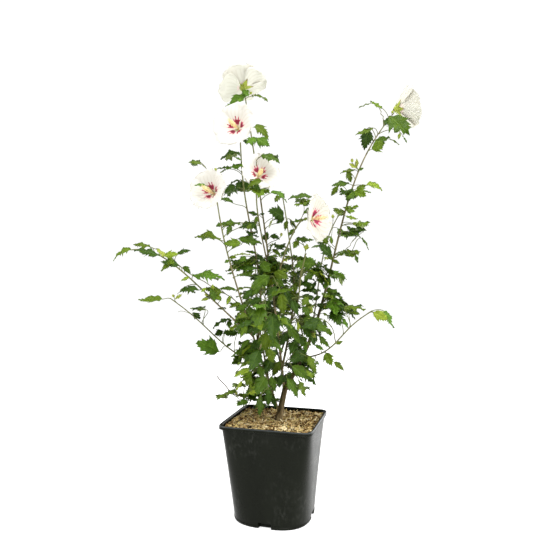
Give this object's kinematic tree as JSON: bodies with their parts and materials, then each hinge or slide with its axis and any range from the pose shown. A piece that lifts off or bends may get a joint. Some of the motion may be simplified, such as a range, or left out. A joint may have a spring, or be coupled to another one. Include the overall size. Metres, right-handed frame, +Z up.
{
  "type": "potted hibiscus",
  "caption": "Open, many-stemmed hibiscus shrub with toothed leaves and wide white flowers with a crimson eye, standing in a black nursery pot topped with bark mulch.",
  "frame": {"origin": "middle of the pot's flat underside, on the surface that the pot stands on", "axes": "+Z up, -Y the front face of the pot; the plant's broad side is turned 14.8 degrees anticlockwise from that face, seen from above"},
  "size_m": [0.656, 0.5683, 1.0299],
  "materials": {
    "pot_plastic": "semi-gloss moulded black",
    "bark_mulch": "loose chipped bark",
    "hibiscus_bark": "thin grey-brown bark with lenticels",
    "hibiscus_leaf": "matt to satin leaf",
    "hibiscus_bloom": "thin crinkled petal"
  },
  "bodies": {
    "root": {"back_bough": "hibiscus_bark", "back_far_leaves": "hibiscus_leaf", "back_left_bough": "hibiscus_bark", "back_left_leaves": "hibiscus_leaf", "back_right_bough": "hibiscus_bark", "back_right_leaves": "hibiscus_leaf", "centre_a_leaves": "hibiscus_leaf", "centre_b_leaves": "hibiscus_leaf", "centre_high_leaves": "hibiscus_leaf", "centre_left_leaves": "hibiscus_leaf", "centre_right_low_leaves": "hibiscus_leaf", "centre_stem": "hibiscus_bark", "centre_upper_leaves": "hibiscus_leaf", "far_left_leaves": "hibiscus_leaf", "fifth_bloom": "hibiscus_bloom", "fifth_flower_stem": "hibiscus_bark", "first_bloom": "hibiscus_bloom", "foot_left_leaves": "hibiscus_leaf", "foot_right_leaves": "hibiscus_leaf", "fourth_bloom": "hibiscus_bloom", "front_bough": "hibiscus_bark", "front_far_leaves": "hibiscus_leaf", "front_leafy_leaves": "hibiscus_leaf", "growing_medium": "bark_mulch", "inner_stem": "hibiscus_bark", "left_high_leaves": "hibiscus_leaf", "left_inner_leaves": "hibiscus_leaf", "left_mid_leaves": "hibiscus_leaf", "left_neck_leaves": "hibiscus_leaf", "left_outer_leaves": "hibiscus_leaf", "left_stem": "hibiscus_bark", "low_left_leaves": "hibiscus_leaf", "lower_left_bough": "hibiscus_bark", "lower_left_mid_leaves": "hibiscus_leaf", "lower_left_tip_leaves": "hibiscus_leaf", "pot": "pot_plastic", "right_bough": "hibiscus_bark", "right_centre_leaves": "hibiscus_leaf", "right_far_tip_leaves": "hibiscus_leaf", "right_high_leaves": "hibiscus_leaf", "right_inner_high_leaves": "hibiscus_leaf", "right_inner_stem": "hibiscus_bark", "right_low_leaves": "hibiscus_leaf", "right_low_outer_leaves": "hibiscus_leaf", "right_middle_leaves": "hibiscus_leaf", "right_stem": "hibiscus_bark", "right_tip_leaves": "hibiscus_leaf", "right_upper_leaves": "hibiscus_leaf", "second_bloom": "hibiscus_bloom", "second_flower_stem": "hibiscus_bark", "short_inner_stem": "hibiscus_bark", "sixth_bloom": "hibiscus_bloom", "third_bloom": "hibiscus_bloom", "third_flower_stem": "hibiscus_bark", "top_shoot_leaves": "hibiscus_leaf", "trunk": "hibiscus_bark", "under_third_flower_leaves": "hibiscus_leaf", "upper_left_band_leaves": "hibiscus_leaf", "upper_left_bough": "hibiscus_bark", "upper_shoot_leaves": "hibiscus_leaf"}
  },
  "joints": []
}
